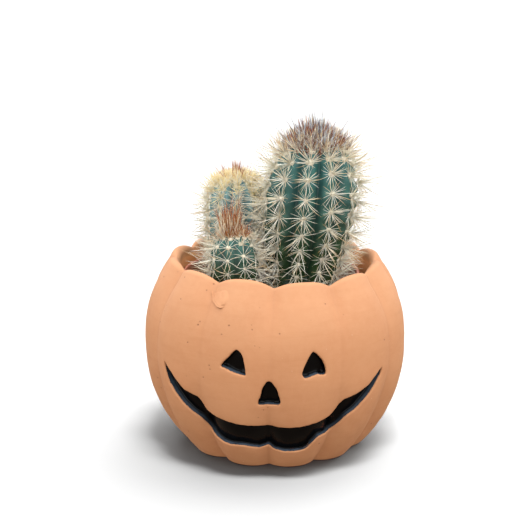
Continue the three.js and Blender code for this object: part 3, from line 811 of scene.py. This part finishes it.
def pumpkin_pot(pockets):
    """The whole pot as one mesh: a grid of rings, with a finer sheet let in for the carved face."""
    rings, outer = pot_rings()
    rows = [i for i, z in outer.items() if FACE_LOW < z < FACE_HIGH]
    window = rows[0], rows[-1], round(FACE_HALF / (360 / COLUMNS))
    rims = [pocket.loops[0][0] for pocket in pockets]
    flat, triangles, starts, border = face_sheet(outer, *window, rims)
    lobes = np.arange(COLUMNS) * 360 / COLUMNS
    points = [ring_points(lobes, *ring) for ring in rings] + [[[0, 0, FOOT_RECESS], [0, 0, POT_FLOOR]]]
    points = np.concatenate(points)
    index = np.arange(len(points), len(points) + len(flat))
    index[: len(border)] = border
    points = np.concatenate([points, sheet_point(flat, 0.0)])
    faces = ring_faces(len(rings), *window)
    faces += [tuple(int(index[k]) for k in t) for t in triangles]

    # Down each pocket's wall and over its floor, from the sheet's own points at its rim.
    for pocket, rim_start, rim in zip(pockets, starts, rims):
        count = len(rim)
        more, more_faces = pocket.surface()
        at = np.concatenate([index[rim_start: rim_start + count], np.arange(len(more) - count) + len(points)])
        faces += [tuple(int(at[k]) for k in face) for face in more_faces]
        points = np.concatenate([points, more[count:]])

    points, faces = drop_unused(points, faces)
    flap_points, flap_faces = clay_flap()
    faces += shifted(flap_faces, len(points))
    points = np.concatenate([points, flap_points])
    # painted light on the inside wall below the lip
    within = inner_light_at(points)
    # painted shade in the creases between the lobes
    tones = {"crease": crease_shade_at(points), "inside": within}
    # painted sheen, stronger towards the top of the outside
    tones["top_sheen"] = smooth(points[:, 2], 52, 84) * (1 - within)
    return mesh_object("pumpkin_pot_clay", uneven(points), faces, tones)


# ---- the nursery pot and the soil


def nursery_radius(z):
    foot = POT_FLOOR + GAP
    return mix(NURSERY_FOOT, NURSERY_RIM - 2.0, (z - foot) / (NURSERY_TOP - NURSERY_COLLAR - foot))


def lathe(name, profile, columns, rim=None, wave=None):
    """A solid round the nursery pot's axis with a pole at each end of its profile of (radius, height)."""
    angles = np.arange(columns) * 360 / columns
    points = np.concatenate([polar(angles, r, z) for r, z in profile[1:-1]])
    if wave:
        points = wave(points)
    points[:, :2] += NURSERY_CENTRE
    poles = [[*NURSERY_CENTRE, profile[0][1]], [*NURSERY_CENTRE, profile[-1][1]]]
    points = np.concatenate([points, poles])
    rows = len(profile) - 2
    faces = grid_faces(rows, columns) + cap_faces(rows, columns)
    return mesh_object(name, points, faces, {"rim": rim(points[:, 2])} if rim else None)


def nursery_pot():
    top, foot = NURSERY_TOP, POT_FLOOR + GAP
    collar = top - NURSERY_COLLAR
    neck = nursery_radius(collar)
    profile = [(0, foot), (12, foot), (24, foot), (27.1, foot), (28.1, foot + 0.4)]
    profile += [(NURSERY_FOOT, foot + 1.2)]
    profile += [(nursery_radius(z), z) for z in np.linspace(foot + 3, collar - 0.8, 14)]
    profile += [(neck, collar - 0.3), (neck + 0.5, collar)]
    # The collar and the rolled rim: how far inside the rim's radius, and the height.
    profile += [(NURSERY_RIM - inset, z) for inset, z in (
        (0.9, collar + 0.2), (0.7, collar + 0.7), (0.6, collar + 4), (0.5, top - 2.0), (0.1, top - 1.6),
        (0.0, top - 1.0), (0.1, top - 0.4), (0.4, top - 0.05), (0.9, top), (1.3, top - 0.3), (1.5, top - 0.9),
        (1.9, collar + 4), (2.0, collar + 1.6), (2.4, collar + 0.8),
    )]
    profile += [(neck - NURSERY_WALL, collar - 0.4)]
    profile += [(nursery_radius(z) - NURSERY_WALL, z) for z in np.linspace(collar - 3, foot + 3, 12)]
    floor = foot + NURSERY_FLOOR
    profile += [(NURSERY_FOOT - NURSERY_WALL - 1, floor), (14, floor), (0, floor)]
    return lathe("nursery_pot_plastic", profile, 144, lambda z: smooth(z, top - 1.5, top - 0.2))


def soil_plug():
    bottom = POT_FLOOR + GAP + NURSERY_FLOOR + GAP

    def inner(z):
        return nursery_radius(z) - NURSERY_WALL - GAP

    profile = [(0, bottom), (14, bottom), (inner(bottom) - 0.4, bottom)]
    profile += [(inner(z), z) for z in np.linspace(bottom + 4, SOIL_TOP - 1.2, 10)]
    edge = inner(SOIL_TOP - 1.2)
    profile += [(edge - 0.4, SOIL_TOP - 0.5)]
    profile += [(edge * k / 44, SOIL_TOP + SOIL_CROWN * (1 - k / 44)) for k in range(43, 0, -1)]
    profile += [(0, SOIL_TOP + SOIL_CROWN)]

    def crumble(points):
        lift = smooth(points[:, 2], SOIL_TOP - 2, SOIL_TOP)
        lift = lift * smooth(edge - np.hypot(*points[:, :2].T), 0.2, 1.5)
        points[:, 2] += lift * (0.7 * rough(points, 3.4, 5.0) + 0.5 * rough(points, 1.5, 6.0))
        return points

    return lathe("soil_mix", profile, 160, wave=crumble)


def soil_crumbs():
    """Loose crumbs of bark and peat on the soil, each a squashed lump."""
    rng = random.Random(5)
    points, faces = [], []
    lump, lump_faces = icosphere(1)
    for _ in range(CRUMBS):
        angle = rng.uniform(0, 360)
        radius = CRUMB_REACH * math.sqrt(rng.random())
        size = rng.uniform(0.5, 1.5)
        z = SOIL_TOP + SOIL_CROWN * (1 - radius / SOIL_REACH) + rng.uniform(-0.2, 0.4)
        middle = polar(angle, radius, z) + [*NURSERY_CENTRE, 0]
        turned = rng.uniform(0, 6.28)
        axis = Vector((rng.random(), rng.random(), rng.random())).normalized()
        turn = Matrix.Rotation(turned, 3, axis)
        squash = Vector((rng.uniform(0.8, 1.7), rng.uniform(0.5, 1.0), rng.uniform(0.4, 0.7)))
        faces += shifted(lump_faces, len(points))
        for v in lump:
            points.append(middle + turn @ (Vector(v) * squash) * size * rng.uniform(0.85, 1.1))
    return mesh_object("soil_crumbs", points, faces, flat=True)


# ---- the cacti


class Stem:
    """A ribbed stem's surface, in angles from the front and shares of its height above the soil."""

    def __init__(self, number):
        self.name = STEM_NAMES[number]
        for key, row in STEM_FACTS.items():
            setattr(self, key, row[number])
        self.shares = np.linspace(0, 0.9995, 1500)
        path = self.surface(self.phase, self.shares, plain=True)
        steps = np.linalg.norm(np.diff(path, axis=0), axis=1)
        self.lengths = np.concatenate([[0], np.cumsum(steps)])
        self.whole = self.lengths[-1]
        self.areoles = self.place_areoles()

    def axis(self, t):
        t = np.asarray(t, float)[..., None]
        aside = np.array(self.base) + np.array(self.lean) * (3 * t - t * t) / 2
        return np.concatenate([aside, mix(SOIL_TOP, self.top, t)], axis=-1)

    def crest(self, t):
        body = mix(self.waist, 1.0, smooth(t, -0.1, 0.5)) * self.radius
        share = np.clip((t - self.dome_start) / (1 - self.dome_start), 0, 1)
        return body * (1 - share**self.dome_power) ** (1 / self.dome_power)

    def ridge(self, angle):
        """1 on a rib's crest and 0 in the furrow beside it."""
        wave = np.abs(np.cos(np.radians(self.ribs * (angle - self.phase) / 2)))
        return (np.sqrt(wave**2 + 0.012) - math.sqrt(0.012)) / (math.sqrt(1.012) - math.sqrt(0.012))

    def surface(self, angle, t, plain=False):
        ridge = self.ridge(angle)
        fade = smooth(t, -0.02, 0.15)
        radius = self.crest(t) * (1 - self.depth * fade * (1 - ridge))
        if not plain:
            radius = radius * (1 + self.swell(angle, t) * ridge**2)
        return self.axis(t) + polar(angle, radius, 0.0)

    def swell(self, angle, t):
        """How the rib's edge swells under each areole and is notched above it."""
        rib = np.round((angle - self.phase) * self.ribs / 360).astype(int) % self.ribs
        rib, s = np.broadcast_arrays(rib, np.interp(t, self.shares, self.lengths))
        out = np.zeros(s.shape)
        for k in range(self.ribs):
            here = rib == k
            marks = np.array([a["s"] for a in self.areoles if a["rib"] == k])
            if here.any():
                row = np.interp(s[here], marks, np.arange(len(marks)))
                out[here] = 0.036 * np.cos(2 * math.pi * (row + 0.3)) - 0.01
        return out * smooth(t, 0.02, 0.12) * (1 - smooth(t, 0.94, 1.0))

    def place_areoles(self):
        rng = random.Random(self.seed)
        found = []
        for rib in range(self.ribs):
            angle = self.phase + rib * 360 / self.ribs
            s = self.first + (rib % 2) * 0.5 * self.spacing[0] + rng.uniform(-0.7, 0.7)
            s = self.stagger.get(rib, s)
            while s < self.whole - 0.6:
                up = s / self.whole
                t = float(np.interp(s, self.lengths, self.shares))
                found.append(dict(rib=rib, angle=angle, s=s, t=t, up=up))
                step = mix(*self.spacing, ease(up, 0.05, 0.55)) * (1 - 0.74 * ease(up, 0.6, 0.96))
                s += step * rng.uniform(0.95, 1.05)
        return found

    def frame_at(self, angle, t):
        """A place on the skin with its directions along the rib, across it and out of it."""
        def at(a, share):
            return self.surface(a, share, plain=True)

        up = unit(at(angle, min(t + 0.003, 0.9999)) - at(angle, t - 0.003))
        side = unit(at(angle + 0.5, t) - at(angle - 0.5, t))
        return at(angle, t), up, side, unit(np.cross(side, up))


def stem_skin(stem):
    """The stem's ribbed skin, round below, where it stands in the soil."""
    columns = stem.ribs * 18
    angles = stem.phase + np.arange(columns) * 360 / columns
    lengths = np.arange(0, stem.whole - 0.4, 0.85)
    foot = [*stem.base, 0]
    root = SOIL_TOP - ROOT_DEPTH
    under = ((0.35, root), (0.75, root + 0.2), (0.97, root + 1), (1, root + 3), (1, SOIL_TOP - 4))
    rows = [polar(angles, stem.root * share, z) + foot for share, z in under]
    for t in np.interp(lengths, stem.lengths, stem.shares):
        collar = polar(angles, stem.root, mix(SOIL_TOP, stem.top, t)) + foot
        rows.append(mix(collar, stem.surface(angles, np.full(columns, t)), ease(t, 0.0, 0.05)))
    tip = stem.axis(1.0)
    points = np.concatenate(rows + [[[*stem.base, root], tip - [0, 0, 0.2]]])
    count = len(rows)
    faces = grid_faces(count, columns) + cap_faces(count, columns)
    age = np.concatenate([np.zeros(len(under)), lengths / stem.whole]) * stem.youth
    attributes = {
        "age": np.concatenate([np.repeat(age, columns), [0, 1]]),
        "crest": np.concatenate([np.tile(stem.ridge(angles), count), [1, 1]]),
        "bloom": np.full(len(points), stem.bloom),
    }
    points = points + 0.12 * rough(points, 4.0, stem.seed)[:, None] * (points - tip * [1, 1, 0]) / 20
    return mesh_object(stem.name + "_skin", points, faces, attributes)


def areole_wool(stem):
    """A small woolly cushion at each areole."""
    rng = random.Random(stem.seed + 100)
    ball, ball_faces = icosphere(2)
    points, faces, tints = [], [], []
    for areole in stem.areoles:
        here, up, side, out = stem.frame_at(areole["angle"], areole["t"])
        young = ease(areole["up"], 0.4, 0.92)
        size = stem.wool * mix(0.55, 1.0, young) * rng.uniform(0.88, 1.12)
        tint = mix(OLD_WOOL, NEW_WOOL, mix(rng.random(), 1.0, young))
        start = len(points)
        for v in ball:
            bump = 1 + 0.32 * noise.noise(Vector(v) * 2.2 + Vector((start, 0, 0)))
            local = side * v[0] * 1.05 + up * v[1] * 0.9 + out * v[2] * 0.6
            points.append(here + out * 0.1 + local * size * bump)
            tints.append(tint)
        faces += shifted(ball_faces, start)
    return mesh_object(stem.name + "_wool", points, faces, {"tint": tints})


CREAM, IVORY, GOLD, AMBER, BROWN, RUST, PLUM, FROST, SLATE, STRAW, SNOW, OLD_WOOL, NEW_WOOL = (
    np.array(rgb(*colour)) for colour in (
        (249, 243, 219), (252, 252, 244), (216, 176, 116), (180, 108, 50), (84, 52, 34), (166, 78, 28),
        (112, 98, 116), (182, 200, 212), (88, 84, 90), (255, 230, 150), (236, 244, 252), (212, 202, 188),
        (246, 242, 222),
    )
)
# A kind of spine's colour at its root, middle and tip: from one to another, by a share between two limits.
SPINE_KINDS = {
    "cream": ((CREAM, IVORY, 0, 1), (CREAM, IVORY, 0, 1), (CREAM, GOLD, 0, 1)),
    "gold": ((CREAM, IVORY, 0, 1), (CREAM, GOLD, 0, 1), (GOLD, BROWN, 0, 0.8)),
    "ember": ((RUST, AMBER, 0, 1), (RUST, BROWN, 0, 0.6), (BROWN, RUST, 0, 0.7)),
    "slate": ((RUST, BROWN, 0, 1), (BROWN, SLATE, 0, 1), (SLATE, PLUM, 0, 1)),
    "frost": ((AMBER, CREAM, 0, 1), (AMBER, FROST, 0.5, 1), (FROST, SNOW, 0, 1)),
    "straw": ((STRAW, CREAM, 0, 1), (STRAW, IVORY, 0, 0.6), (STRAW, GOLD, 0, 1)),
    "rust": ((AMBER, STRAW, 0, 0.6), (RUST, AMBER, 0, 0.8), (BROWN, RUST, 0, 1)),
}
DARK_KINDS = ("slate", "ember", "rust")


def blocked(tip, stem, stems):
    """Whether a spine's tip would lie in another stem, in the soil or in a pot's wall."""
    for other in stems:
        t = (tip[2] - SOIL_TOP) / (other.top - SOIL_TOP)
        if other is not stem and 0 <= t <= 1:
            gap = np.linalg.norm((tip - other.axis(t))[:2])
            if gap < other.crest(t) * 0.97:
                return True
    in_plastic = math.dist(tip[:2], NURSERY_CENTRE) > NURSERY_RIM - 2.6
    in_clay = math.hypot(*tip[:2]) > LIP_RADIUS - LIP_ROUND - 1
    top = max(SOIL_TOP + 1.2, NURSERY_TOP + 0.5 if in_plastic else 0, LIP_HEIGHT if in_clay else 0)
    return tip[2] < top


class Spines:
    """Every spine of a stem as root, middle and tip, its thickness and its colours."""

    def __init__(self, stem, stems):
        self.stem, self.stems = stem, stems
        self.rng = random.Random(stem.seed + 7)
        self.made = []
        for areole in stem.areoles:
            self.star(areole)
        self.tuft()
        self.bud()
        self.spikes()

    def scatter(self, spread, z=0.0):
        return np.array([self.rng.gauss(0, spread), self.rng.gauss(0, spread), z])

    def add(self, root, way, length, thick, kind, rise):
        """Adds a spine, bent upwards where it would meet something, or leaves it out."""
        way = unit(way)
        for lift in (0.0, 0.5, 1.0, 1.6):
            bent = unit(way + WORLD_UP * lift)
            sway = np.array([self.rng.gauss(0, 1) for _ in range(3)]) * 0.035 * length
            middle = root + bent * length * 0.52 + sway + WORLD_UP * rise * length * 0.05
            tip = root + bent * length + WORLD_UP * rise * length * 0.16 + sway * 0.4
            if not any(blocked(end, self.stem, self.stems) for end in (tip, middle)):
                self.made.append((root, middle, tip, thick, self.tints(kind)))
                return

    def tints(self, kind):
        """Colours at a spine's root, middle and tip."""
        stops = [mix(a, b, mix(low, high, self.rng.random())) for a, b, low, high in SPINE_KINDS[kind]]
        shade = self.rng.uniform(*((0.62, 1.1) if kind in DARK_KINDS else (0.9, 1.06)))
        return [np.clip(colour * [shade, shade, shade, 1], 0, 1) for colour in stops]

    def kind(self, young, apex):
        """A kind for a spine of an areole, by how young it is and how near the dome's top."""
        if self.rng.random() < apex:
            return self.rng.choice(self.stem.crown_kinds)
        if self.rng.random() < 0.8 * young:
            return self.stem.young_kind
        return "gold" if self.rng.random() < 0.5 else "cream"

    def star(self, areole):
        """The radial and central spines of an areole."""
        stem, rng = self.stem, self.rng
        here, up, side, out = stem.frame_at(areole["angle"], areole["t"])
        age = ease(areole["up"], 0.1, 0.6)
        young = ease(areole["up"], 0.62, 0.95)
        apex = ease(areole["up"], 0.76, 0.92)
        short = mix(1.0, stem.apex, apex)
        thick = mix(0.1, 0.135, age) * stem.girth
        bushy = 1 + stem.bushy * math.sin(math.radians(areole["angle"])) ** 2
        root = here + out * 0.3

        def spine(turn, tilt, inset, upward, length, thick):
            flat = side * math.sin(turn) + up * math.cos(turn)
            way = out * math.cos(tilt) + flat * math.sin(tilt) + WORLD_UP * upward * young
            self.add(root + flat * inset, way, length * short, thick, self.kind(young, apex), 0.2 * young)

        first_turn = rng.uniform(0, 360)
        count = round(stem.radials * mix(0.56, 1.0, age) * mix(1.0, 1.3, young) * bushy)
        count += rng.choice((-1, 0, 1))
        for i in range(count):
            turn = math.radians(first_turn + 360 * (i + rng.uniform(-0.3, 0.3)) / count)
            tilt = math.radians(mix(rng.uniform(56, 84), rng.uniform(25, 72), young))
            length = stem.radial * mix(1.0 - 0.14 * math.cos(turn), 1.3 * stem.shoulder, young)
            spine(turn, tilt, 0.4 * stem.wool / 1.9, 0.16, length * rng.uniform(0.72, 1.12), thick)
        for i in range(round(stem.centrals * mix(1.0, 1.8, young) * bushy)):
            turn = rng.uniform(0, 2 * math.pi)
            tilt = math.radians(rng.uniform(4, 48))
            length = stem.central * mix(1.0, stem.shoulder, young)
            spine(turn, tilt, 0.2, 0.3, length * rng.uniform(0.55, 1.25), thick + 0.03)

    def tuft(self):
        """The tuft, in clumps from all over the top of the dome, longest in its middle."""
        stem, rng = self.stem, self.rng
        shift = np.array([*stem.tuft_shift, 0.0])
        kinds = stem.crown_kinds
        clumps = stem.tuft // stem.clump
        for i in range(clumps):
            angle = GOLDEN_ANGLE * i + rng.uniform(-20, 20)
            off = stem.tuft_reach * math.sqrt((i + 0.5) / clumps)
            outward = off / stem.tuft_reach
            lean = polar(angle, stem.crown_fan * outward, 0.0) + self.scatter(0.07)
            reach = stem.crown * mix(1.0, 0.5, outward) * rng.uniform(0.8, 1.12)
            share = min(max(outward + rng.gauss(0, 0.13), 0), 0.99)
            clump_kind = kinds[int(share * len(kinds))]
            for _ in range(stem.clump):
                turn = angle + rng.gauss(0, 4.0 / max(off, 0.1))
                out = min(max(off + rng.gauss(0, 0.04), 0.0), 0.97)
                t = mix(stem.dome_start, 1, (1 - out**stem.dome_power) ** (1 / stem.dome_power))
                root = stem.axis(t) + polar(turn, stem.crest(t) * 0.9, 0.0) + shift
                way = WORLD_UP + lean + self.scatter(0.13)
                kind = clump_kind if rng.random() < 0.6 else rng.choice(kinds)
                self.add(root, way, reach * rng.uniform(0.6, 1.06), stem.tuft_thick, kind, 0.3)

    def bud(self):
        """A brown point of new spines, pressed together."""
        for _ in range(self.stem.bud):
            way = WORLD_UP + self.scatter(0.09)
            root = self.stem.axis(1.0) + self.scatter(0.6, -0.6)
            length = self.rng.uniform(5.0, 9.2)
            self.add(root, way, length, 0.2, self.rng.choice(("rust", "rust", "gold")), 0.2)

    def spikes(self):
        """Lone spikes that stand out of the tuft."""
        stem, rng = self.stem, self.rng
        for _ in range(stem.lone):
            angle, off = rng.uniform(0, 360), rng.uniform(0.0, 0.8)
            way = WORLD_UP + polar(angle, 0.9 * off, 0.0)
            root = stem.axis(1.0) + polar(angle, stem.radius * 0.6 * off, -1.5) + [*stem.tuft_shift, 0.0]
            self.add(root, way, stem.lone_reach * rng.uniform(0.72, 1.0), 0.17, stem.lone_kind, 0.2)


def spine_mesh(stem, stems):
    """All spines of a stem in one mesh: three-sided, bent in the middle and drawn out to a point."""
    points, faces, tints = [], [], []
    sides = [(math.cos(turn), math.sin(turn)) for turn in (0, 2 * math.pi / 3, 4 * math.pi / 3)]
    shape = grid_faces(3, 3) + [(6 + k, 6 + (k + 1) % 3, 9) for k in range(3)] + [(2, 1, 0)]
    for root, middle, tip, thick, (c0, c1, c2) in Spines(stem, stems).made:
        side = unit(np.cross(unit(tip - root), [0.3, 0.9, 0.2]))
        other = np.cross(unit(tip - root), side)
        bend = 2 * middle - (root + tip) / 2
        faces += shifted(shape, len(points))
        for t in (0.0, 0.34, 0.68):
            point = (1 - t) ** 2 * root + 2 * t * (1 - t) * bend + t * t * tip
            radius = thick * (1 - 0.62 * t)
            points += [point + radius * (side * across + other * along) for across, along in sides]
            tints += [mix(c0, c1, t / 0.68)] * 3
        points.append(tip)
        tints.append(c2)
    return mesh_object(stem.name + "_spines", points, faces, {"tint": tints})


# ---- floor, lights and camera


def white_floor():
    """A white floor that only the camera sees, so that it lights nothing."""
    corners = [(x * FLOOR_REACH, y * FLOOR_REACH, 0) for x, y in ((-1, -1), (1, -1), (1, 1), (-1, 1))]
    floor = mesh_object("floor", corners, [(0, 1, 2, 3)])
    s = Shader("white_floor")
    floor.data.materials.append(s.finish((*FLOOR_TINT, 1), 0.9, Specular_IOR_Level=0.0))
    floor.visible_diffuse = False
    floor.visible_glossy = False
    return floor


def sky():
    """A soft sky whose light goes by elevation, warm from below."""
    s = Shader("studio", "worlds", "Background")
    height = s.node("SeparateXYZ", {0: s.node("TexCoord").outputs["Generated"]}).outputs["Z"]
    colours = s.node("ValToRGB", {"Fac": s.math("ADD", s.times(height, 0.5), 0.5)})
    ramp = colours.color_ramp
    for sine, light, tint in WORLD_LIGHT:
        stop = ramp.elements[0] if sine == -1.0 else ramp.elements.new((sine + 1) / 2)
        stop.position = (sine + 1) / 2
        stop.color = [c * light for c in tint] + [1]
    ramp.elements.remove(ramp.elements[-1])
    s.put(s.surface.inputs["Color"], colours.outputs["Color"])
    s.put(s.surface.inputs["Strength"], WORLD_STRENGTH)
    bpy.context.scene.world = s.material


def lamps(floor):
    """Soft suns for the whole scene, and more that light the floor alone."""
    alone = bpy.data.collections.new("floor_alone")
    alone.objects.link(floor)
    for name, way, strength, spread in SUNS:
        lamp = bpy.data.lights.new(name, "SUN")
        lamp.energy = strength
        lamp.angle = math.radians(spread)
        rig = bpy.data.objects.new(name, lamp)
        rig.rotation_euler = (-Vector(way)).to_track_quat("-Z", "Y").to_euler()
        bpy.context.collection.objects.link(rig)
        if name == "floor_sun":
            rig.light_linking.receiver_collection = alone


def camera():
    """A camera that stands at its elevation and turns so that the target falls on its pixel."""
    tilt = math.radians(ELEVATION)
    across, down = (math.atan((pixel - PHOTO_SIZE / 2) / FOCAL_PIXELS) for pixel in TARGET_PIXEL)
    lens = bpy.data.cameras.new("camera")
    lens.sensor_width = SENSOR_WIDTH
    lens.lens = FOCAL_PIXELS / PHOTO_SIZE * SENSOR_WIDTH
    lens.clip_start = 0.01
    rig = bpy.data.objects.new("camera", lens)
    away = Vector((0, -math.cos(tilt), math.sin(tilt))) * DISTANCE
    turned = Matrix.Rotation(math.pi / 2 - tilt + down, 4, "X") @ Matrix.Rotation(across, 4, "Y")
    rig.matrix_world = Matrix.Translation(TARGET + away) @ turned
    bpy.context.collection.objects.link(rig)
    bpy.context.scene.camera = rig


# ---- the whole scene

pockets = face_pockets()
place(pumpkin_pot(pockets), "pumpkin_pot", clay_material())
place(face_paint(pockets), None, paint_material())
place(nursery_pot(), "nursery_pot", nursery_material())
soil_look = soil_material()
place(soil_plug(), "soil", soil_look)
place(soil_crumbs(), None, soil_look)

skin_look, spine_look, wool_look = skin_material(), spine_material(), wool_material()
stems = [Stem(number) for number in range(len(STEM_NAMES))]
for stem in stems:
    place(stem_skin(stem), stem.name, skin_look)
    place(areole_wool(stem), None, wool_look)
    place(spine_mesh(stem, stems), None, spine_look)

sky()
lamps(white_floor())
camera()
bpy.context.scene.view_settings.view_transform = "Standard"
